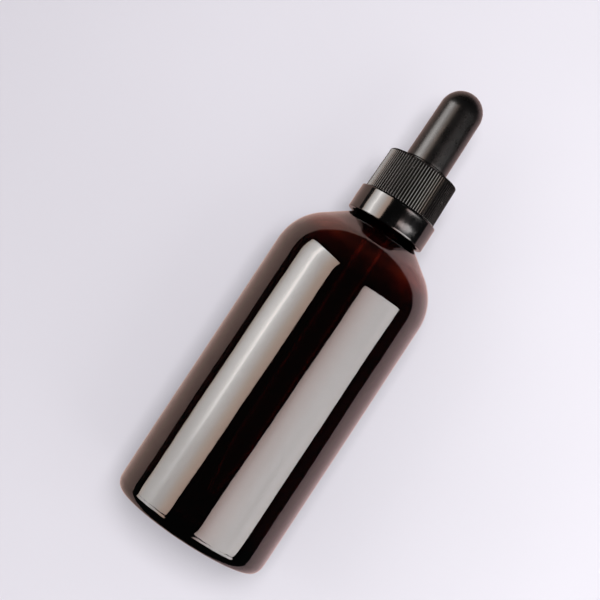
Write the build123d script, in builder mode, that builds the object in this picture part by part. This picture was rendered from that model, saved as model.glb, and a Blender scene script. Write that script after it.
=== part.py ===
"""A 100 ml amber glass dropper bottle with an 18 mm screw neck, in millimetres.

The bottle stands on its base at the origin with its axis along +Z. Its pieces are the
glass bottle, the tamper ring left round the neck, the screw cap, the rubber bulb held
in the cap and the glass pipette pushed into the bulb.
"""

from build123d import *
from math import cos, radians, sin
import os

# Bottle body
body_radius = 22.5
wall = 2.2
heel_width = 1.8
heel_height = 3.3
bearing_inner_radius = 17.5
push_up = 1.6
floor_centre_z = 5.0
floor_edge_z = 3.9
floor_fillet = 3.0

# Shoulder: an arc that turns inwards, then a straight cone up to the neck
shoulder_z = 78.0
shoulder_radius = 15.1
shoulder_turn = radians(53.2)

# Neck finish
lip_z = 112.1
bore_radius = 5.85
neck_radius = 8.6
bead_radius = 9.5
bead_bottom_z = 97.6
bead_top_z = 99.4
thread_root_radius = 7.9
thread_root_z = 100.6
lip_rounding = 0.8

# Right-hand thread, shared by the neck and the cap
pitch = 3.0
thread_crest_radius = 8.8
thread_start_z = 103.2
neck_turns = 2.1
ridge_root_width = 1.7
ridge_crest_width = 0.8
ridge_embed = 0.3

# Screw cap
cap_bottom_z = 102.86
cap_top_z = 115.05
cap_bottom_radius = 10.6
cap_top_radius = 10.32
cap_inner_radius = 9.1
cap_plate = 1.2
cap_edge_rounding = 0.6
bulb_hole_radius = 6.15
rib_count = 80
rib_depth = 0.34
cap_thread_radius = 8.2
cap_turns = 1.5

# Tamper ring
ring_bottom_z = 95.66
ring_top_z = 102.68
ring_outer_radius = 11.55
ring_inner_radius = 10.2
ring_rounding = 0.6
tab_count = 8
tab_radius = 9.2
tab_width = 2.4
tab_height = 0.8
tab_bottom_z = 96.4
stub_radius = 9.75
stub_width = 0.8
stub_height = 0.6

# Rubber bulb
flange_radius = 8.3
flange_thickness = 1.6
seat_gap = 0.05
bulb_root_radius = 5.9
bulb_collar_z = cap_top_z + 0.9
bulb_low_radius = 6.24
bulb_dome_radius = 6.03
bulb_tip_z = 139.0
bulb_wall = 1.3
throat_top_z = 118.0

# Glass pipette
pipette_radius = 3.5
pipette_bore = 2.5
pipette_bead_radius = 4.1
pipette_bead_height = 1.1
pipette_taper_z = 27.0
pipette_tip_z = 11.6
tip_radius = 1.4
tip_bore = 0.65

shoulder_centre_radius = body_radius - shoulder_radius
cone_slope = cos(shoulder_turn) / sin(shoulder_turn)


def shoulder_point(radius):
    """End of the shoulder arc of this radius, where the straight cone starts."""
    across = shoulder_centre_radius + radius * cos(shoulder_turn)
    return (across, shoulder_z + radius * sin(shoulder_turn))


def cone_height(start, radius):
    """Height at which the cone from this point has come in to a radius."""
    return start[1] + (start[0] - radius) * cone_slope


# Bottle: one revolved glass wall with its thread
outer_start = shoulder_point(shoulder_radius)
inner_start = shoulder_point(shoulder_radius - wall)
inner_radius = body_radius - wall
outer_corner = (neck_radius, cone_height(outer_start, neck_radius))
inner_corner = (bore_radius, cone_height(inner_start, bore_radius))
thread_top_z = thread_start_z + neck_turns * pitch

with BuildPart() as bottle:
    with BuildSketch(Plane.XZ):
        with BuildLine():
            push_up_arc = ThreePointArc(
                (0, push_up),
                (bearing_inner_radius * 0.6, push_up * 0.62),
                (bearing_inner_radius, 0),
            )
            Line(push_up_arc @ 1, (body_radius - heel_width, 0))
            EllipticalCenterArc(
                (body_radius - heel_width, heel_height),
                heel_width,
                heel_height,
                start_angle=270,
                arc_size=90,
            )
            Line((body_radius, heel_height), (body_radius, shoulder_z))
            ThreePointArc(
                (body_radius, shoulder_z),
                (
                    shoulder_centre_radius + shoulder_radius * cos(shoulder_turn / 2),
                    shoulder_z + shoulder_radius * sin(shoulder_turn / 2),
                ),
                outer_start,
            )
            finish = FilletPolyline(
                outer_start,
                outer_corner,
                (neck_radius, bead_bottom_z),
                (bead_radius, bead_bottom_z),
                (bead_radius, bead_top_z),
                (thread_root_radius, thread_root_z),
                (thread_root_radius, lip_z),
                (bore_radius, lip_z),
                inner_corner,
                inner_start,
                radius=[1.2, 0.3, 0.4, 0.6, 0.7, lip_rounding, lip_rounding, 3.0],
            )
            ThreePointArc(
                inner_start,
                (
                    shoulder_centre_radius + (shoulder_radius - wall) * cos(shoulder_turn / 2),
                    shoulder_z + (shoulder_radius - wall) * sin(shoulder_turn / 2),
                ),
                (inner_radius, shoulder_z),
            )
            Line((inner_radius, shoulder_z), (inner_radius, floor_edge_z + floor_fillet))
            RadiusArc(
                (inner_radius, floor_edge_z + floor_fillet),
                (inner_radius - floor_fillet, floor_edge_z),
                floor_fillet,
            )
            Line((inner_radius - floor_fillet, floor_edge_z), (0, floor_centre_z))
            Line((0, floor_centre_z), (0, push_up))
        make_face()
    revolve(axis=Axis.Z)
    with BuildLine() as neck_helix:
        Helix(
            pitch,
            neck_turns * pitch,
            thread_root_radius,
            center=(0, 0, thread_start_z),
        )
    ridge_start = Plane(
        origin=neck_helix.line @ 0,
        x_dir=(1, 0, 0),
        z_dir=neck_helix.line % 0,
    )
    with BuildSketch(ridge_start):
        with BuildLine():
            Polyline(
                (-ridge_embed, -ridge_root_width / 2),
                (0, -ridge_root_width / 2),
                (thread_crest_radius - thread_root_radius, -ridge_crest_width / 2),
                (thread_crest_radius - thread_root_radius, ridge_crest_width / 2),
                (0, ridge_root_width / 2),
                (-ridge_embed, ridge_root_width / 2),
                close=True,
            )
        make_face()
    sweep(path=neck_helix.line, is_frenet=True)


# Screw cap: a ribbed cup with a hole for the bulb and a thread inside
def ribbed_outline(radius):
    """Corner points of the rib outline whose crests lie on this radius."""
    step = 360 / rib_count
    root = radius - rib_depth
    corners = []
    for rib in range(rib_count):
        for share, reach in ((-0.36, root), (-0.17, radius), (0.17, radius), (0.36, root)):
            angle = radians((rib + share) * step)
            corners.append((reach * cos(angle), reach * sin(angle)))
    return corners


cap_ceiling_z = cap_top_z - cap_plate

with BuildPart() as screw_cap:
    for height, radius in ((cap_bottom_z, cap_bottom_radius), (cap_top_z, cap_top_radius)):
        with BuildSketch(Plane.XY.offset(height)):
            with BuildLine():
                Polyline(*ribbed_outline(radius), close=True)
            make_face()
    loft(ruled=True)
    with BuildSketch(Plane.XZ):
        with BuildLine():
            FilletPolyline(
                (0, cap_bottom_z),
                (cap_bottom_radius + 0.1, cap_bottom_z),
                (cap_top_radius + 0.02, cap_top_z),
                (0, cap_top_z),
                radius=[0.25, cap_edge_rounding],
            )
            Line((0, cap_top_z), (0, cap_bottom_z))
        make_face()
    revolve(axis=Axis.Z, mode=Mode.INTERSECT)
    with BuildSketch(Plane.XY.offset(cap_bottom_z)):
        Circle(cap_inner_radius)
    extrude(amount=cap_ceiling_z - cap_bottom_z, mode=Mode.SUBTRACT)
    with BuildSketch(Plane.XY.offset(cap_top_z)):
        Circle(bulb_hole_radius)
    extrude(amount=-cap_plate, mode=Mode.SUBTRACT)
    with BuildLine() as cap_helix:
        Helix(
            pitch,
            cap_turns * pitch,
            cap_inner_radius,
            center=(0, 0, thread_start_z + pitch / 2),
        )
    groove_start = Plane(
        origin=cap_helix.line @ 0,
        x_dir=(1, 0, 0),
        z_dir=cap_helix.line % 0,
    )
    with BuildSketch(groove_start):
        with BuildLine():
            Polyline(
                (ridge_embed, -ridge_root_width / 2),
                (0, -ridge_root_width / 2),
                (cap_thread_radius - cap_inner_radius, -ridge_crest_width / 2),
                (cap_thread_radius - cap_inner_radius, ridge_crest_width / 2),
                (0, ridge_root_width / 2),
                (ridge_embed, ridge_root_width / 2),
                close=True,
            )
        make_face()
    sweep(path=cap_helix.line, is_frenet=True)


# Tamper ring: a rounded band with catches under the neck bead and broken bridge stubs
with BuildPart() as tamper_ring:
    with BuildSketch(Plane.XZ):
        with BuildLine():
            FilletPolyline(
                (ring_inner_radius, ring_bottom_z),
                (ring_outer_radius, ring_bottom_z),
                (ring_outer_radius, ring_top_z),
                (ring_inner_radius, ring_top_z),
                radius=[ring_rounding, ring_rounding],
            )
            Line((ring_inner_radius, ring_top_z), (ring_inner_radius, ring_bottom_z))
        make_face()
    revolve(axis=Axis.Z)
    for bottom, reach, width, height in (
        (tab_bottom_z, tab_radius, tab_width, tab_height),
        (ring_top_z - 0.1 - stub_height, stub_radius, stub_width, stub_height),
    ):
        radial_length = ring_inner_radius + 0.4 - reach
        with BuildSketch(Plane.XY.offset(bottom)):
            with PolarLocations(reach + radial_length / 2, tab_count):
                Rectangle(radial_length, width)
        extrude(amount=height)


# Rubber bulb: a hollow teat with a flange gripped between the cap and the glass lip
flange_bottom_z = lip_z + seat_gap
flange_top_z = flange_bottom_z + flange_thickness
dome_centre_z = bulb_tip_z - bulb_dome_radius
cavity_radius = bulb_dome_radius - bulb_wall
diagonal = cos(radians(45))

with BuildPart() as rubber_bulb:
    with BuildSketch(Plane.XZ):
        with BuildLine():
            Polyline(
                (pipette_radius, flange_bottom_z),
                (flange_radius, flange_bottom_z),
                (flange_radius, flange_top_z),
                (bulb_root_radius, flange_top_z),
                (bulb_root_radius, bulb_collar_z),
                (bulb_low_radius, bulb_collar_z + 0.25),
                (bulb_dome_radius, dome_centre_z),
            )
            ThreePointArc(
                (bulb_dome_radius, dome_centre_z),
                (bulb_dome_radius * diagonal, dome_centre_z + bulb_dome_radius * diagonal),
                (0, bulb_tip_z),
            )
            Line((0, bulb_tip_z), (0, bulb_tip_z - bulb_wall))
            ThreePointArc(
                (0, bulb_tip_z - bulb_wall),
                (cavity_radius * diagonal, dome_centre_z + cavity_radius * diagonal),
                (cavity_radius, dome_centre_z),
            )
            Polyline(
                (cavity_radius, dome_centre_z),
                (cavity_radius, throat_top_z),
                (pipette_radius, throat_top_z),
                (pipette_radius, flange_bottom_z),
            )
        make_face()
    revolve(axis=Axis.Z)


# Glass pipette: a tube with a bead inside the bulb and a drawn tip near the floor
pipette_top_z = throat_top_z + pipette_bead_height

with BuildPart() as glass_pipette:
    with BuildSketch(Plane.XZ):
        with BuildLine():
            Spline(
                (tip_radius, pipette_tip_z),
                (2.3, pipette_tip_z + 6.5),
                (pipette_radius, pipette_taper_z),
                tangents=((0.06, 1), (0, 1)),
            )
            Line((pipette_radius, pipette_taper_z), (pipette_radius, throat_top_z))
            FilletPolyline(
                (pipette_radius, throat_top_z),
                (pipette_bead_radius, throat_top_z),
                (pipette_bead_radius, pipette_top_z),
                (pipette_bore, pipette_top_z),
                (pipette_bore, pipette_taper_z),
                radius=0.3,
            )
            Spline(
                (pipette_bore, pipette_taper_z),
                (1.35, pipette_tip_z + 6.0),
                (tip_bore, pipette_tip_z),
                tangents=((0, -1), (-0.06, -1)),
            )
            Line((tip_bore, pipette_tip_z), (tip_radius, pipette_tip_z))
        make_face()
    revolve(axis=Axis.Z)


os.makedirs("parts", exist_ok=True)
bottle.part.label = "bottle"
export_step(bottle.part, "parts/bottle.step")
screw_cap.part.label = "screw_cap"
export_step(screw_cap.part, "parts/screw_cap.step")
tamper_ring.part.label = "tamper_ring"
export_step(tamper_ring.part, "parts/tamper_ring.step")
rubber_bulb.part.label = "rubber_bulb"
export_step(rubber_bulb.part, "parts/rubber_bulb.step")
glass_pipette.part.label = "glass_pipette"
export_step(glass_pipette.part, "parts/glass_pipette.step")
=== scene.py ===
"""Amber dropper bottle: fine meshes, materials, studio and camera round the CAD frame."""

import math

import bpy
from mathutils import Matrix, Vector


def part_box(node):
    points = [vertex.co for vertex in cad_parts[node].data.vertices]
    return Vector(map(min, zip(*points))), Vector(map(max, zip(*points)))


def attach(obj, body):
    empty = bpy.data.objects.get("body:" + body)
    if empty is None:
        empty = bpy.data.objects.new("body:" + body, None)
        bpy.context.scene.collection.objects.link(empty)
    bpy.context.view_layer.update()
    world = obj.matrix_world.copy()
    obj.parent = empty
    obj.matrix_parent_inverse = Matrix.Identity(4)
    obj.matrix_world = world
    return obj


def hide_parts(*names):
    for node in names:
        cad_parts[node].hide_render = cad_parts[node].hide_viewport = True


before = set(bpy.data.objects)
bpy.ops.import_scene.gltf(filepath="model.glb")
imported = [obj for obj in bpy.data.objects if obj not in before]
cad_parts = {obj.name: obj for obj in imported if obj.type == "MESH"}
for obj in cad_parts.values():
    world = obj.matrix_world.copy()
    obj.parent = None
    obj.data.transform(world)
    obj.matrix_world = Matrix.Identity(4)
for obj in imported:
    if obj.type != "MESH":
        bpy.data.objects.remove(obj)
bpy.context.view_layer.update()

MM = 0.001
TURN = 2 * math.pi

# Heights and radii that the frame gives
_, bottle_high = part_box("bottle")
cap_low, cap_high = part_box("screw_cap")
ring_low, ring_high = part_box("tamper_ring")
bulb_low, bulb_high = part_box("rubber_bulb")
pipette_low, pipette_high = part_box("glass_pipette")
body_radius = bottle_high.x
lip_z = bottle_high.z

# Bottle wall
WALL = 2.2 * MM
HEEL_WIDTH = 1.8 * MM
HEEL_HEIGHT = 3.3 * MM
BEARING_RADIUS = 17.5 * MM
PUSH_UP = 1.6 * MM
FLOOR_CENTRE_Z = 5.0 * MM
FLOOR_EDGE_Z = 3.9 * MM
FLOOR_FILLET = 3.0 * MM
SHOULDER_Z = 78.0 * MM
SHOULDER_RADIUS = 15.1 * MM
SHOULDER_TURN = math.radians(53.2)
SEAM_Z = 2.9 * MM
SEAM_HALF = 0.28 * MM
SEAM_DEPTH = 0.06 * MM

# Bottle wall's moulding waviness: share of the full depth, lobes round, radians per metre up, phase
MOULD_WAVES = ((1.0, 2, 38, 1.3), (0.6, 5, -95, 0.0), (0.35, 9, 170, 0.8))
MOULD_DEPTH = 0.022 * MM
MOULD_FADE = 6 * MM
MOULD_INSET = 0.02 * MM
PARTING_HALF = 0.12 * MM
PARTING_RISE = 0.02 * MM

# Neck finish and thread
BORE_RADIUS = 5.85 * MM
NECK_RADIUS = 8.6 * MM
BEAD_RADIUS = 9.5 * MM
BEAD_LOW_Z = 97.6 * MM
BEAD_HIGH_Z = 99.4 * MM
THREAD_ROOT = 7.9 * MM
THREAD_ROOT_Z = 100.6 * MM
THREAD_DEPTH = 0.9 * MM
PITCH = 3.0 * MM
THREAD_START_Z = 103.2 * MM
NECK_TURNS = 2.1
CAP_TURNS = 1.5
CAP_THREAD_DEPTH = 0.88 * MM
RIDGE_ROOT_HALF = 0.85 * MM
RIDGE_CREST_HALF = 0.3 * MM
THREAD_FADE = 0.12

# Screw cap
CAP_TOP_RADIUS = 10.32 * MM
CAP_INNER_RADIUS = 9.1 * MM
CAP_PLATE = 1.2 * MM
CAP_ROUNDING = 0.55 * MM
BULB_HOLE = 6.15 * MM
RIB_COUNT = 80
RIB_DEPTH = 0.34 * MM
RIB_STEPS = 10
# Depth shares over which the cap's painted groove shade fades out towards the rib crests
RIB_SHADED_GROOVE_SHARE = 0.90
RIB_UNSHADED_CREST_SHARE = 0.55

# Tamper ring
RING_INNER = 10.2 * MM
RING_ROUNDING = 0.3 * MM
RING_SWELL = 0.014 * MM
RING_DRAFT = 0.035 * MM
RING_CREST_SHARE = 0.50
RING_WAVE_SHARE = 0.66
TAB_COUNT = 8
TAB_RADIUS = 9.25 * MM
TAB_Z = 96.8 * MM
TAB_WIDTH = 2.4 * MM
TAB_HEIGHT = 0.8 * MM
STUB_SIZES = (0.9 * MM, 0.8 * MM, 0.6 * MM)

# Rubber bulb
BULB_ROOT = 5.9 * MM
BULB_DOME = 6.03 * MM
BULB_WALL = 1.3 * MM
COLLAR_RISE = 0.9 * MM
FLANGE = 1.6 * MM
THROAT_TOP_Z = 118.0 * MM

# Pipette
PIPETTE_BORE = 2.5 * MM
PIPETTE_RADIUS = 3.5 * MM
PIPETTE_TAPER_Z = 27.0 * MM
TIP_RADIUS = 1.35 * MM
TIP_BORE = 0.65 * MM
BELL_START = 0.18

# Amber glass: its density per metre, and its share of that over the thinner-looking shoulder
AMBER_DENSITY = 1700.0
SHOULDER_BAND = (0.080, 0.100)
SHOULDER_SHARES = ((0.18, 1.0), (0.32, 0.36), (0.50, 0.36), (0.64, 1.0))


# ---------------------------------------------------------------- mesh code

def arc(centre, radii, start, end, steps):
    """Points of an elliptical arc in the (radius, height) plane, angles in degrees."""
    points = []
    for step in range(steps + 1):
        angle = math.radians(start + (end - start) * step / steps)
        points.append(
            (centre[0] + radii[0] * math.cos(angle), centre[1] + radii[1] * math.sin(angle))
        )
    return points


def rounded(corners, radii, steps=5):
    """The polyline through the corners, each inner corner replaced by a tangent arc."""
    points = [Vector(corners[0])]
    for before, corner, after, radius in zip(corners, corners[1:], corners[2:], radii):
        corner = Vector(corner)
        back = (Vector(before) - corner).normalized()
        ahead = (Vector(after) - corner).normalized()
        half = back.angle(ahead) / 2
        reach = radius / math.tan(half)
        centre = corner + (back + ahead).normalized() * (radius / math.sin(half))
        first = corner + back * reach - centre
        turn = first.angle_signed(corner + ahead * reach - centre)
        for step in range(steps + 1):
            points.append(centre + Matrix.Rotation(-turn * step / steps, 2) @ first)
    points.append(Vector(corners[-1]))
    return [tuple(point) for point in points]


def spaced(points, longest):
    """The same polyline with long stretches divided evenly."""
    fine = [points[0]]
    for start, end in zip(points, points[1:]):
        count = max(1, math.ceil(math.dist(start, end) / longest))
        for step in range(1, count + 1):
            share = step / count
            fine.append(tuple(a + (b - a) * share for a, b in zip(start, end)))
    return fine


def joined(*stretches):
    """Stretches of outline end to end, without the repeated points."""
    points = []
    for stretch in stretches:
        for point in stretch:
            if not points or math.dist(points[-1], point) > 0.002 * MM:
                points.append(point)
    return points


def lathe(name, outline, segments, closed=False, relief=None):
    """A revolved mesh. An open outline starts and ends on the axis; relief moves a radius."""
    vertices = []
    faces = []
    rings = []
    for radius, height in outline:
        if radius < 1e-7:
            rings.append([len(vertices)] * segments)
            vertices.append((0.0, 0.0, height))
            continue
        rings.append(list(range(len(vertices), len(vertices) + segments)))
        for step in range(segments):
            angle = TURN * step / segments
            reach = relief(radius, height, angle) if relief else radius
            vertices.append((reach * math.cos(angle), reach * math.sin(angle), height))
    pairs = list(zip(rings, rings[1:]))
    if closed:
        pairs.append((rings[-1], rings[0]))
    for lower, upper in pairs:
        for step in range(segments):
            after = (step + 1) % segments
            corners = (lower[step], lower[after], upper[after], upper[step])
            face = tuple(dict.fromkeys(corners))
            if len(face) > 2:
                faces.append(face)
    return solid(name, vertices, faces)


def solid(name, vertices, faces):
    """A smooth-shaded mesh object in the scene."""
    mesh = bpy.data.meshes.new(name)
    mesh.from_pydata(vertices, [], faces)
    mesh.validate()
    mesh.shade_smooth()
    piece = bpy.data.objects.new(name, mesh)
    bpy.context.scene.collection.objects.link(piece)
    return piece


def smooth_step(value):
    """0 below 0, 1 above 1, and an even S between."""
    value = min(1.0, max(0.0, value))
    return value * value * (3 - 2 * value)


def thread_ridge(height, angle, start_z, turns):
    """Share of the full ridge, 0 to 1, of a right-hand thread at this place."""
    best = 0.0
    for lap in range(math.ceil(turns) + 1):
        along = angle / TURN + lap
        if along > turns:
            break
        off = abs(height - start_z - PITCH * along)
        flank = smooth_step((RIDGE_ROOT_HALF - off) / (RIDGE_ROOT_HALF - RIDGE_CREST_HALF))
        fade = smooth_step(along / THREAD_FADE) * smooth_step((turns - along) / THREAD_FADE)
        best = max(best, flank * fade)
    return best


# ------------------------------------------------------------ node materials

class Nodes:
    """A material's node tree, with short calls for the nodes that repeat."""

    def __init__(self, name):
        self.material = bpy.data.materials.new(name)
        self.material.use_nodes = True
        self.tree = self.material.node_tree
        self.shader = self.tree.nodes["Principled BSDF"]
        self.output = self.tree.nodes["Material Output"]
        self.place = self.add("ShaderNodeTexCoord").outputs["Object"]

    def add(self, kind, **settings):
        node = self.tree.nodes.new(kind)
        for key, value in settings.items():
            setattr(node, key, value)
        return node

    def link(self, source, target):
        self.tree.links.new(source, target)

    def axes(self, vector):
        """The x, y and z of a vector."""
        split = self.add("ShaderNodeSeparateXYZ")
        self.link(vector, split.inputs[0])
        return tuple(split.outputs)

    def stretched(self, scale):
        """Object coordinates scaled unevenly, for streaks."""
        mapping = self.add("ShaderNodeMapping")
        mapping.inputs["Scale"].default_value = scale
        self.link(self.place, mapping.inputs["Vector"])
        return mapping.outputs["Vector"]

    def noise(self, scale, detail=3.0, roughness=0.5, vector=None):
        node = self.add("ShaderNodeTexNoise")
        node.inputs["Scale"].default_value = scale
        node.inputs["Detail"].default_value = detail
        node.inputs["Roughness"].default_value = roughness
        self.link(vector or self.place, node.inputs["Vector"])
        return node.outputs["Fac"]

    def ramp(self, source, *stops):
        """A colour ramp; each stop is (position, grey or colour)."""
        node = self.add("ShaderNodeValToRGB")
        elements = node.color_ramp.elements
        elements[0].position = stops[0][0]
        elements[1].position = stops[-1][0]
        for position, _ in stops[1:-1]:
            elements.new(position)
        for element, (_, colour) in zip(elements, stops):
            if isinstance(colour, (int, float)):
                colour = (colour, colour, colour)
            element.color = (*colour, 1.0)
        self.link(source, node.inputs["Fac"])
        return node.outputs["Color"]

    def mix(self, share, first, second, mode="MIX"):
        node = self.add("ShaderNodeMix", data_type="RGBA", blend_type=mode)
        sockets = (node.inputs[0], node.inputs[6], node.inputs[7])
        for socket, value in zip(sockets, (share, first, second)):
            if isinstance(value, bpy.types.NodeSocket):
                self.link(value, socket)
            else:
                socket.default_value = value
        return node.outputs[2]

    def bump(self, height, strength, distance):
        node = self.add("ShaderNodeBump")
        node.inputs["Strength"].default_value = strength
        node.inputs["Distance"].default_value = distance
        self.link(height, node.inputs["Height"])
        return node.outputs["Normal"]

    def set(self, **values):
        for key, value in values.items():
            socket = self.shader.inputs[key.replace("_", " ")]
            if isinstance(value, bpy.types.NodeSocket):
                self.link(value, socket)
            else:
                socket.default_value = value


def amber_glass():
    """Moulded amber glass, coloured by its thickness, faintly uneven, paler over the shoulder."""
    nodes = Nodes("amber_glass")
    haze = nodes.noise(90.0, 4.0, 0.6)
    wave = nodes.noise(55.0, 1.0, 0.4, nodes.stretched((1.0, 1.0, 0.35)))
    nodes.set(
        Base_Color=nodes.ramp(haze, (0.3, (0.72, 0.42, 0.30)), (0.7, (0.78, 0.46, 0.34))),
        Roughness=nodes.ramp(haze, (0.35, 0.004), (0.75, 0.02)),
        IOR=1.52,
        Transmission_Weight=1.0,
        Normal=nodes.bump(wave, 0.25, 0.25 * MM),
    )
    rise = nodes.add("ShaderNodeMapRange")
    rise.inputs["From Min"].default_value = SHOULDER_BAND[0]
    rise.inputs["From Max"].default_value = SHOULDER_BAND[1]
    nodes.link(nodes.axes(nodes.place)[2], rise.inputs["Value"])
    share = nodes.ramp(rise.outputs["Result"], *SHOULDER_SHARES)
    dense = nodes.add("ShaderNodeMath", operation="MULTIPLY")
    dense.inputs[1].default_value = AMBER_DENSITY
    nodes.link(share, dense.inputs[0])
    absorb = nodes.add("ShaderNodeVolumeAbsorption")
    absorb.inputs["Color"].default_value = (0.45, 0.12, 0.04, 1.0)
    nodes.link(dense.outputs[0], absorb.inputs["Density"])
    nodes.link(absorb.outputs["Volume"], nodes.output.inputs["Volume"])
    return nodes.material


def pipette_glass():
    """Clear drawn glass with faint streaks along the tube."""
    nodes = Nodes("pipette_glass")
    streak = nodes.noise(260.0, 2.0, 0.5, nodes.stretched((1.0, 1.0, 0.06)))
    nodes.set(
        Base_Color=nodes.ramp(streak, (0.3, (0.95, 0.98, 0.97)), (0.7, (1.0, 1.0, 1.0))),
        Roughness=nodes.ramp(streak, (0.3, 0.003), (0.8, 0.03)),
        IOR=1.5,
        Transmission_Weight=1.0,
        Normal=nodes.bump(streak, 0.15, 0.1 * MM),
    )
    return nodes.material


def rib_crest_and_groove_shade(nodes):
    """1 on the cap's rib crests and 0 in the grooves, by distance from the axis; the grooves' 0
    paints shade there.
    """
    across, along, height = nodes.axes(nodes.place)
    flat = nodes.add("ShaderNodeCombineXYZ")
    nodes.link(across, flat.inputs[0])
    nodes.link(along, flat.inputs[1])
    reach = nodes.add("ShaderNodeVectorMath", operation="LENGTH")
    nodes.link(flat.outputs[0], reach.inputs[0])
    draft = (cap_high.x - CAP_TOP_RADIUS) / (cap_high.z - cap_low.z)
    upright = nodes.add("ShaderNodeMath", operation="MULTIPLY_ADD")
    upright.inputs[1].default_value = draft
    nodes.link(height, upright.inputs[0])
    nodes.link(reach.outputs["Value"], upright.inputs[2])
    crest_reach = cap_high.x + draft * cap_low.z
    share = nodes.add("ShaderNodeMapRange", interpolation_type="SMOOTHSTEP")
    share.inputs["From Min"].default_value = crest_reach - RIB_DEPTH * RIB_SHADED_GROOVE_SHARE
    share.inputs["From Max"].default_value = crest_reach - RIB_DEPTH * RIB_UNSHADED_CREST_SHARE
    nodes.link(upright.outputs[0], share.inputs["Value"])
    return share.outputs["Result"]


def cap_plastic():
    """Black moulded plastic with a fine grain and pale dust lodged between the ribs, and painted
    shade in the rib grooves.
    """
    nodes = Nodes("cap_plastic")
    grain = nodes.noise(2600.0, 4.0, 0.65)
    cloud = nodes.noise(140.0, 3.0, 0.6)
    speck = nodes.noise(1900.0, 2.0, 0.5)
    dust = nodes.mix(
        1.0,
        nodes.ramp(speck, (0.66, 0.0), (0.72, 1.0)),
        nodes.ramp(cloud, (0.46, 0.0), (0.66, 1.0)),
        "MULTIPLY",
    )
    black = nodes.ramp(cloud, (0.3, (0.002, 0.002, 0.002)), (0.7, (0.005, 0.0047, 0.0045)))
    # Mask for the painted shade in the rib grooves: 1 on the crests, 0 deep in the grooves
    unshaded_crest_share = rib_crest_and_groove_shade(nodes)
    worn = nodes.ramp(grain, (0.3, 0.10), (0.7, 0.16))
    nodes.set(
        Base_Color=nodes.mix(dust, black, (0.30, 0.28, 0.26, 1.0)),
        Roughness=nodes.mix(unshaded_crest_share, (0.60, 0.60, 0.60, 1.0), worn),
        IOR=1.5,
        # Low gloss deep in the rib grooves is painted shade there
        Specular_IOR_Level=nodes.mix(unshaded_crest_share, (0.04, 0.04, 0.04, 1.0), (0.42, 0.42, 0.42, 1.0)),
        Normal=nodes.bump(grain, 0.20, 0.05 * MM),
    )
    return nodes.material


def ring_plastic():
    """Glossy black plastic with a slow waviness and hairline scuffs."""
    nodes = Nodes("ring_plastic")
    wave = nodes.noise(120.0, 2.0, 0.5)
    scuff = nodes.noise(900.0, 5.0, 0.7, nodes.stretched((1.0, 1.0, 0.2)))
    nodes.set(
        Base_Color=nodes.ramp(wave, (0.3, (0.001, 0.001, 0.001)), (0.7, (0.003, 0.003, 0.003))),
        Roughness=nodes.ramp(scuff, (0.35, 0.07), (0.75, 0.16)),
        IOR=1.52,
        Normal=nodes.bump(wave, 0.30, 0.35 * MM),
    )
    return nodes.material


def bulb_rubber():
    """Satin black rubber with a fine skin texture and a trace of grey bloom."""
    nodes = Nodes("bulb_rubber")
    skin = nodes.noise(3200.0, 3.0, 0.6)
    bloom = nodes.noise(170.0, 4.0, 0.6)
    nodes.set(
        Base_Color=nodes.ramp(bloom, (0.3, (0.001, 0.001, 0.001)), (0.75, (0.004, 0.004, 0.004))),
        Roughness=nodes.ramp(bloom, (0.3, 0.24), (0.7, 0.32)),
        IOR=1.5,
        Specular_IOR_Level=0.33,
        Normal=nodes.bump(skin, 0.25, 0.04 * MM),
    )
    return nodes.material


# ------------------------------------------------------------------- pieces

def shoulder(radius):
    """The shoulder arc of one radius about the shared centre."""
    centre = (body_radius - SHOULDER_RADIUS, SHOULDER_Z)
    return arc(centre, (radius, radius), 0, math.degrees(SHOULDER_TURN), 40)


def cone_meets(start, radius):
    """Where the cone that runs on from a shoulder arc comes in to a radius."""
    rise = (start[0] - radius) / math.tan(SHOULDER_TURN)
    return (radius, start[1] + rise)


def bottle_relief(radius, height, angle):
    """Outer wall with moulding waviness, a parting line and the neck's thread."""
    if radius > body_radius - WALL * 0.6 or (height > SHOULDER_Z and radius > NECK_RADIUS):
        swell = 0.0
        for size, lobes, rise, phase in MOULD_WAVES:
            swell += size * math.sin(lobes * angle + rise * height + phase)
        amount = MOULD_DEPTH * smooth_step((height - HEEL_HEIGHT) / MOULD_FADE)
        parting = max(0.0, 1 - abs(math.sin(angle)) * radius / PARTING_HALF)
        seam = SEAM_DEPTH * math.exp(-(((height - SEAM_Z) / SEAM_HALF) ** 2))
        return radius + swell * amount - MOULD_INSET + PARTING_RISE * parting - seam
    if abs(radius - THREAD_ROOT) < 0.01 * MM:
        return radius + THREAD_DEPTH * thread_ridge(height, angle, THREAD_START_Z, NECK_TURNS)
    return radius


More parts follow.
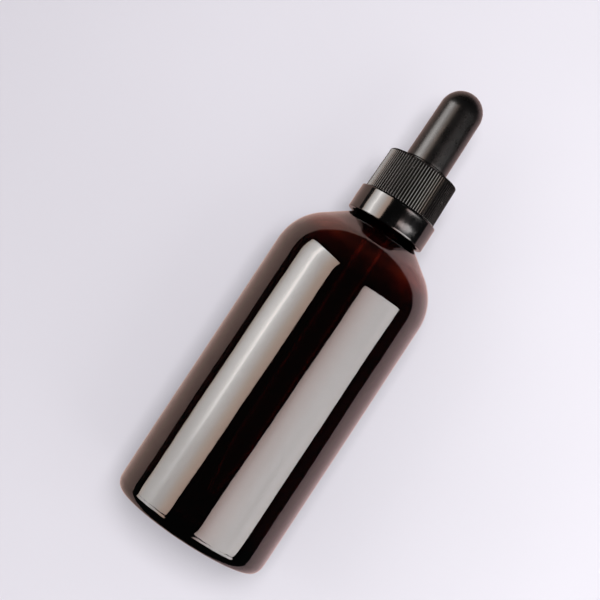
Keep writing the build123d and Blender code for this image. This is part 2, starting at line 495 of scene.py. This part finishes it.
def make_bottle():
    """The glass bottle: outer and inner wall, pushed-up base, thread and lip."""
    inner_radius = body_radius - WALL
    outer_arc = shoulder(SHOULDER_RADIUS)
    inner_arc = shoulder(SHOULDER_RADIUS - WALL)
    heel_centre = (body_radius - HEEL_WIDTH, HEEL_HEIGHT)
    base = arc((0, 0), (BEARING_RADIUS, PUSH_UP), 90, 0, 24)
    heel = arc(heel_centre, (HEEL_WIDTH, HEEL_HEIGHT), 270, 360, 20)
    finish = rounded(
        [
            outer_arc[-1],
            cone_meets(outer_arc[-1], NECK_RADIUS),
            (NECK_RADIUS, BEAD_LOW_Z),
            (BEAD_RADIUS, BEAD_LOW_Z),
            (BEAD_RADIUS, BEAD_HIGH_Z),
            (THREAD_ROOT, THREAD_ROOT_Z),
            (THREAD_ROOT, lip_z),
            (BORE_RADIUS, lip_z),
            cone_meets(inner_arc[-1], BORE_RADIUS),
            inner_arc[-1],
        ],
        [r * MM for r in (1.2, 0.3, 0.4, 0.6, 0.7, 0.8, 0.8, 3.0)],
        steps=8,
    )
    floor_centre = (inner_radius - FLOOR_FILLET, FLOOR_EDGE_Z + FLOOR_FILLET)
    floor = arc(floor_centre, (FLOOR_FILLET, FLOOR_FILLET), 0, -90, 16)
    outline = joined(
        spaced(joined(base, heel), 1.0 * MM),
        spaced([heel[-1], outer_arc[0]], 1.5 * MM),
        outer_arc,
        spaced(finish, 0.16 * MM),
        inner_arc[::-1],
        spaced([inner_arc[0], floor[0]], 6.0 * MM),
        floor,
        spaced([floor[-1], (0.0, FLOOR_CENTRE_Z)], 2.0 * MM),
    )
    outline[-1] = (0.0, FLOOR_CENTRE_Z)
    outline[0] = (0.0, PUSH_UP)
    return lathe("bottle_glass", outline, 256, relief=bottle_relief)


def cap_relief(radius, height, angle):
    """Ribs on the cap's skirt and a thread inside it."""
    if radius > CAP_TOP_RADIUS - CAP_ROUNDING - RIB_DEPTH and height < cap_high.z - 0.001 * MM:
        wave = 0.5 + 0.5 * math.cos(angle * RIB_COUNT)
        groove = 1 - wave
        edge = smooth_step((radius - (CAP_TOP_RADIUS - CAP_ROUNDING - RIB_DEPTH)) / RIB_DEPTH)
        return radius - RIB_DEPTH * groove * edge
    if abs(radius - CAP_INNER_RADIUS) < 0.01 * MM:
        start = THREAD_START_Z + PITCH / 2
        return radius - CAP_THREAD_DEPTH * thread_ridge(height, angle, start, CAP_TURNS)
    return radius


def make_cap():
    """The ribbed cap with its plate, bulb hole and inside thread."""
    ceiling = cap_high.z - CAP_PLATE
    outline = rounded(
        [
            (CAP_INNER_RADIUS, cap_low.z + 3 * MM),
            (CAP_INNER_RADIUS, cap_low.z),
            (cap_high.x, cap_low.z),
            (CAP_TOP_RADIUS, cap_high.z),
            (BULB_HOLE, cap_high.z),
            (BULB_HOLE, ceiling),
            (CAP_INNER_RADIUS, ceiling),
            (CAP_INNER_RADIUS, cap_low.z + 3 * MM),
        ],
        [r * MM for r in (0.2, 0.22, 0.55, 0.2, 0.15, 0.3)],
        steps=5,
    )
    outline = joined(spaced(outline, 0.2 * MM))[:-1]
    return lathe("screw_cap_shell", outline, RIB_COUNT * RIB_STEPS, closed=True, relief=cap_relief)


def block(name, centre, sizes, angle, rounding):
    """A small block with chamfered ends, turned about the axis to its place in the ring."""
    vertices = []
    faces = []
    rows = [
        (-0.5, 1 - rounding),
        (-0.5 + rounding / 2, 1.0),
        (0.5 - rounding / 2, 1.0),
        (0.5, 1 - rounding),
    ]
    for level, share in rows:
        for across, along in ((-1, -1), (1, -1), (1, 1), (-1, 1)):
            spot = Vector(
                (
                    centre[0] + across * sizes[0] / 2 * share,
                    along * sizes[1] / 2 * share,
                    centre[1] + level * sizes[2],
                )
            )
            spot.rotate(Matrix.Rotation(angle, 3, "Z"))
            vertices.append(tuple(spot))
    faces.append((3, 2, 1, 0))
    for row in range(3):
        for side in range(4):
            low = row * 4 + side
            next_low = row * 4 + (side + 1) % 4
            faces.append((low, next_low, next_low + 4, low + 4))
    faces.append((12, 13, 14, 15))
    return solid(name, vertices, faces)


def join(name, parts):
    """One object from several, by copying their meshes together."""
    vertices = []
    faces = []
    for part in parts:
        offset = len(vertices)
        vertices += [tuple(vertex.co) for vertex in part.data.vertices]
        faces += [tuple(offset + corner for corner in face.vertices) for face in part.data.polygons]
        bpy.data.objects.remove(part)
    return solid(name, vertices, faces)


def ring_relief(radius, height, angle):
    """The band's outer face swells and sinks a little where the moulding cooled unevenly."""
    share = (height - ring_low.z) / (ring_high.z - ring_low.z)
    if radius < ring_high.x - 0.1 * MM:
        return radius
    swell = RING_SWELL * (math.cos(TURN * (share - RING_CREST_SHARE) / RING_WAVE_SHARE) - 1)
    return radius + swell - RING_DRAFT * share


def make_ring():
    """The tamper ring: a rounded band, its catches and its broken bridge stubs."""
    outline = rounded(
        [
            (RING_INNER, ring_low.z + 3 * MM),
            (RING_INNER, ring_low.z),
            (ring_high.x, ring_low.z),
            (ring_high.x, ring_high.z),
            (RING_INNER, ring_high.z),
            (RING_INNER, ring_low.z + 3 * MM),
        ],
        [0.2 * MM, RING_ROUNDING, RING_ROUNDING, 0.2 * MM],
        steps=8,
    )
    outline = joined(spaced(outline, 0.3 * MM))[:-1]
    band = lathe("band", outline, 256, closed=True, relief=ring_relief)
    parts = [band]
    tab_depth = RING_INNER + 0.4 * MM - TAB_RADIUS
    for count in range(TAB_COUNT):
        angle = TURN * count / TAB_COUNT
        centre = (TAB_RADIUS + tab_depth / 2, TAB_Z)
        parts.append(block("tab", centre, (tab_depth, TAB_WIDTH, TAB_HEIGHT), angle, 0.15))
        stub = (RING_INNER + 0.1 * MM, ring_high.z - 0.4 * MM)
        parts.append(block("stub", stub, STUB_SIZES, angle, 0.2))
    return join("tamper_ring_band", parts)


def make_bulb():
    """The hollow rubber bulb with its flange, root groove and dome."""
    dome_z = bulb_high.z - BULB_DOME
    collar_z = cap_high.z + COLLAR_RISE
    flange_top = bulb_low.z + FLANGE
    cavity = BULB_DOME - BULB_WALL
    skirt = rounded(
        [
            (PIPETTE_RADIUS, bulb_low.z + 1 * MM),
            (PIPETTE_RADIUS, bulb_low.z),
            (bulb_high.x, bulb_low.z),
            (bulb_high.x, flange_top),
            (BULB_ROOT, flange_top),
            (BULB_ROOT, collar_z),
            (BULB_ROOT + 0.34 * MM, collar_z + 0.12 * MM),
            (BULB_DOME, dome_z),
        ],
        [r * MM for r in (0.1, 0.4, 0.4, 0.15, 0.1, 0.12)],
        steps=6,
    )
    dome = arc((0, dome_z), (BULB_DOME, BULB_DOME), 0, 90, 40)
    hollow = arc((0, dome_z), (cavity, cavity), 90, 0, 16)
    throat = [
        (cavity, dome_z),
        (cavity, THROAT_TOP_Z),
        (PIPETTE_RADIUS, THROAT_TOP_Z),
        (PIPETTE_RADIUS, bulb_low.z + 1 * MM),
    ]
    # One outline: from the hollow's top, down the throat, round the flange and up to the dome's top
    outer = joined(spaced(skirt, 0.8 * MM), dome)
    inner = joined(hollow, spaced(throat, 1.5 * MM))
    outer[-1] = (0.0, bulb_high.z)
    inner[0] = (0.0, bulb_high.z - BULB_WALL)
    return lathe("rubber_bulb_teat", inner[:-1] + outer, 160)


def make_pipette():
    """The drawn glass tube with a bead on top and a fire-polished tip."""
    top = pipette_high.z
    tip = pipette_low.z
    steps = 24
    low = smooth_step(BELL_START)
    taper_out = []
    taper_in = []
    for step in range(steps + 1):
        share = step / steps
        height = tip + (PIPETTE_TAPER_Z - tip) * share
        bell = smooth_step(BELL_START + (1 - BELL_START) * share)
        grow = (bell - low) / (1 - low)
        taper_out.append((TIP_RADIUS + (PIPETTE_RADIUS - TIP_RADIUS) * grow, height))
        taper_in.append((TIP_BORE + (PIPETTE_BORE - TIP_BORE) * grow, height))
    bead = rounded(
        [
            (PIPETTE_RADIUS, THROAT_TOP_Z - 1 * MM),
            (PIPETTE_RADIUS, THROAT_TOP_Z),
            (pipette_high.x, THROAT_TOP_Z),
            (pipette_high.x, top),
            (PIPETTE_BORE, top),
            (PIPETTE_BORE, THROAT_TOP_Z - 1 * MM),
        ],
        [0.05 * MM, 0.4 * MM, 0.45 * MM, 0.45 * MM],
        steps=6,
    )
    outline = joined(spaced(joined(taper_out, bead, taper_in[::-1]), 3 * MM))
    mouth = arc(
        ((TIP_BORE + TIP_RADIUS) / 2, tip + 0.05 * MM),
        ((TIP_RADIUS - TIP_BORE) / 2, 0.2 * MM),
        180,
        360,
        8,
    )
    return lathe("glass_pipette_tube", outline + mouth[1:-1], 96, closed=True)


def fit(piece, body, node, material):
    """The piece stands for a CAD node, rides its body and takes its material."""
    piece.data.materials.append(material)
    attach(piece, body)
    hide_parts(node)


fit(make_bottle(), "bottle", "bottle", amber_glass())
fit(make_ring(), "tamper_ring", "tamper_ring", ring_plastic())
fit(make_cap(), "cap", "screw_cap", cap_plastic())
fit(make_bulb(), "dropper", "rubber_bulb", bulb_rubber())
fit(make_pipette(), "dropper", "glass_pipette", pipette_glass())


# ------------------------------------------------------------------- studio

TABLE_Y = body_radius + 0.1 * MM
TABLE_EDGES = (-0.176, 0.150, -0.16, 0.30)
MIDDLE_Z = 0.068
PANEL_DISTANCE = 0.5
WARM = (1.0, 0.955, 0.93)
ROSY = (1.0, 0.945, 0.935)

# Each softbox's ends in bearing, its light by bearing, and its brighter streak
LEFT_ENDS = (-87, -30)
LEFT_EVEN = (
    (-87, (0.62, 0.52, 0.45)),
    (-80, 0.80),
    (-63, 0.92),
    (-50, (0.83, 0.81, 0.80)),
    (-40, (0.80, 0.66, 0.58)),
    (-30, (0.74, 0.56, 0.46)),
)
LEFT_TUBE = (
    (-82, 0.0),
    (-71, 0.35),
    (-66, 0.70),
    (-63, 1.10),
    (-60, 0.45),
    (-52, 0.15),
    (-40, 0.0),
)
LEFT_RISE = ((0.20, 0.10), (0.34, 0.30), (0.41, 0.75), (0.52, 1.10))
RIGHT_ENDS = (13, 77)
RIGHT_EVEN = (
    (13, (0.60, 0.49, 0.46)),
    (17, (0.76, 0.63, 0.60)),
    (28, (1.07, 0.99, 0.97)),
    (50, 1.16),
    (71, 1.04),
    (77, (0.98, 0.94, 0.93)),
)
RIGHT_TUBE = ((60, 0.0), (66, 0.10), (72, 0.0))
RIGHT_RISE = ((0.2, 1.0), (0.9, 0.6))

# Camera: sensor and lens in millimetres, place in metres, angles in radians
CAMERA_SENSOR = 36.0
CAMERA_LENS = 76.53
CAMERA_PLACE = Vector((-8.39, -341.5, 58.0)) * MM
CAMERA_PITCH = 0.0271
CAMERA_SLANT = math.radians(56.6)


def table_paper():
    """Pale paper with a painted light falloff, darker to the left, a painted rosy reflection tint
    for gloss rays, and see-through from its back.
    """
    nodes = Nodes("table_paper")
    across = nodes.axes(nodes.add("ShaderNodeTexCoord").outputs["Generated"])[0]
    mottle = nodes.ramp(nodes.noise(9.0, 2.0, 0.5), (0.3, 0.98), (0.7, 1.02))
    # Painted light falloff: the paper's colour is darker to the left and lighter to the right
    painted_falloff_sheet = nodes.ramp(across, (0.15, (0.66, 0.64, 0.69)), (0.85, (0.88, 0.86, 0.92)))
    paper_with_painted_falloff = nodes.mix(1.0, painted_falloff_sheet, mottle, "MULTIPLY")
    # Painted reflection tint: gloss rays see the paper rosy brown, the colour the glass's edge
    # bands mirror
    painted_reflection_tint = nodes.ramp(across, (0.4, (0.84, 0.58, 0.50)), (0.7, (1.0, 0.72, 0.72)))
    glossy = nodes.add("ShaderNodeLightPath").outputs["Is Glossy Ray"]
    nodes.set(
        Base_Color=nodes.mix(glossy, paper_with_painted_falloff, painted_reflection_tint),
        Roughness=0.9,
        Specular_IOR_Level=0.1,
    )
    clear = nodes.add("ShaderNodeBsdfTransparent")
    side = nodes.add("ShaderNodeNewGeometry")
    choose = nodes.add("ShaderNodeMixShader")
    nodes.link(side.outputs["Backfacing"], choose.inputs[0])
    nodes.link(nodes.shader.outputs[0], choose.inputs[1])
    nodes.link(clear.outputs[0], choose.inputs[2])
    nodes.link(choose.outputs[0], nodes.output.inputs["Surface"])
    return nodes.material


def make_table():
    """The table that the bottle lies on, seen square on."""
    left, right, low, high = TABLE_EDGES
    edges = ((left, low), (right, low), (right, high), (left, high))
    table = solid("table", [(x, TABLE_Y, z) for x, z in edges], [(0, 1, 2, 3)])
    table.data.materials.append(table_paper())


def bearing(angle, distance):
    """A point at an angle from the camera's side, positive towards +X, in degrees."""
    turn = math.radians(angle)
    return (distance * math.sin(turn), -distance * math.cos(turn))


def chord_share(angle, first, last):
    """How far along a panel from first to last a bearing meets it, 0 to 1."""
    middle = (first + last) / 2
    reach = math.tan(math.radians((last - first) / 2))
    return 0.5 + 0.5 * math.tan(math.radians(angle - middle)) / reach


def panel_glow(name, radiance, colour, ends, even, tube, tube_rise):
    """A softbox's face. even and tube give its light by bearing, tube_rise by height."""
    nodes = Nodes(name)
    across, upward, _ = nodes.axes(nodes.add("ShaderNodeTexCoord").outputs["UV"])
    even_stops = [(chord_share(angle, *ends), grey) for angle, grey in even]
    tube_stops = [(chord_share(angle, *ends), grey) for angle, grey in tube]
    cloud = nodes.ramp(nodes.noise(9.0, 2.0, 0.5), (0.3, 0.94), (0.7, 1.05))
    flat = nodes.mix(1.0, nodes.ramp(across, *even_stops), cloud, "MULTIPLY")
    streak = nodes.mix(
        1.0, nodes.ramp(across, *tube_stops), nodes.ramp(upward, *tube_rise), "MULTIPLY"
    )
    light = nodes.mix(1.0, flat, streak, "ADD")
    tinted = nodes.mix(1.0, light, (*colour, 1.0), "MULTIPLY")
    glow = nodes.add("ShaderNodeEmission")
    glow.inputs["Strength"].default_value = radiance
    nodes.link(tinted, glow.inputs["Color"])
    nodes.link(glow.outputs[0], nodes.output.inputs["Surface"])
    return nodes.material


def softbox(name, corners, material):
    """A light panel that only mirrored rays see; each corner is (bearing, height)."""
    places = [(*bearing(angle, PANEL_DISTANCE), height) for angle, height in corners]
    panel = solid(name, places, [(0, 1, 2, 3)])
    shares = panel.data.uv_layers.new(name="shares").data
    for loop, place in zip(shares, ((0, 0), (1, 0), (1, 1), (0, 1))):
        loop.uv = place
    panel.data.materials.append(material)
    panel.visible_camera = False
    panel.visible_diffuse = False
    panel.visible_transmission = False
    panel.visible_shadow = False


def wash(name, centre, size, radiance, colour):
    """A broad light for the table and the dull surfaces, unseen by gloss and through glass."""
    lamp = bpy.data.lights.new(name, "AREA")
    lamp.shape = "SQUARE"
    lamp.size = size
    lamp.energy = radiance * math.pi * size * size
    lamp.color = colour
    light = bpy.data.objects.new(name, lamp)
    bpy.context.scene.collection.objects.link(light)
    light.location = centre
    aim = Vector((0, TABLE_Y, MIDDLE_Z)) - Vector(centre)
    light.rotation_euler = aim.to_track_quat("-Z", "Y").to_euler()
    light.visible_camera = False
    light.visible_glossy = False
    light.visible_transmission = False


make_table()
softbox(
    "left_softbox",
    [(-89.0, -0.16), (-34.5, -0.16), (-25.5, 0.235), (-84.5, 0.30)],
    panel_glow("left_panel", 8.8, WARM, LEFT_ENDS, LEFT_EVEN, LEFT_TUBE, LEFT_RISE),
)
softbox(
    "right_softbox",
    [(9.5, -0.16), (75.0, -0.16), (79.5, 0.143), (18.5, 0.151)],
    panel_glow("right_panel", 8.6, ROSY, RIGHT_ENDS, RIGHT_EVEN, RIGHT_TUBE, RIGHT_RISE),
)
wash("front_wash", (0.01, -0.86, 0.20), 0.34, 15.0, (1.0, 0.985, 1.0))
wash("right_wash", (0.65, -0.50, 0.05), 0.6, 0.95, (1.0, 0.985, 1.0))
wash("left_wash", (-0.65, -0.50, 0.10), 0.6, 0.80, (0.98, 0.98, 1.0))


def background(tree, grey):
    """An even grey sky."""
    node = tree.nodes.new("ShaderNodeBackground")
    node.inputs["Color"].default_value = (grey, grey, grey, 1.0)
    return node


def make_world():
    """Pale to the camera, grey through glass and on dull surfaces, and dark to gloss."""
    world = bpy.data.worlds.new("studio")
    bpy.context.scene.world = world
    world.use_nodes = True
    tree = world.node_tree
    rays = tree.nodes.new("ShaderNodeLightPath")
    shown = tree.nodes["Background"]
    shown.inputs["Color"].default_value = (0.80, 0.78, 0.84, 1.0)
    last = background(tree, 0.02)
    for kind, sky in (
        ("Is Transmission Ray", background(tree, 0.45)),
        ("Is Diffuse Ray", background(tree, 0.28)),
        ("Is Camera Ray", shown),
    ):
        choose = tree.nodes.new("ShaderNodeMixShader")
        tree.links.new(rays.outputs[kind], choose.inputs[0])
        tree.links.new(last.outputs[0], choose.inputs[1])
        tree.links.new(sky.outputs[0], choose.inputs[2])
        last = choose
    tree.links.new(last.outputs[0], tree.nodes["World Output"].inputs["Surface"])


def make_camera():
    """The camera looks along +Y at the bottle, rolled so that the bottle lies aslant."""
    data = bpy.data.cameras.new("camera")
    data.sensor_width = CAMERA_SENSOR
    data.lens = CAMERA_LENS
    data.clip_start = 0.01
    camera = bpy.data.objects.new("camera", data)
    bpy.context.scene.collection.objects.link(camera)
    upright = Vector((0, -math.sin(CAMERA_PITCH), math.cos(CAMERA_PITCH)))
    across = Vector((1, 0, 0))
    right = across * math.sin(CAMERA_SLANT) + upright * math.cos(CAMERA_SLANT)
    up = upright * math.sin(CAMERA_SLANT) - across * math.cos(CAMERA_SLANT)
    turn = Matrix((right, up, right.cross(up))).transposed().to_4x4()
    camera.matrix_world = Matrix.Translation(CAMERA_PLACE) @ turn
    bpy.context.scene.camera = camera


make_world()
make_camera()
bpy.context.scene.view_settings.view_transform = "Standard"
bpy.context.scene.cycles.caustics_refractive = False
bpy.context.scene.cycles.caustics_reflective = False
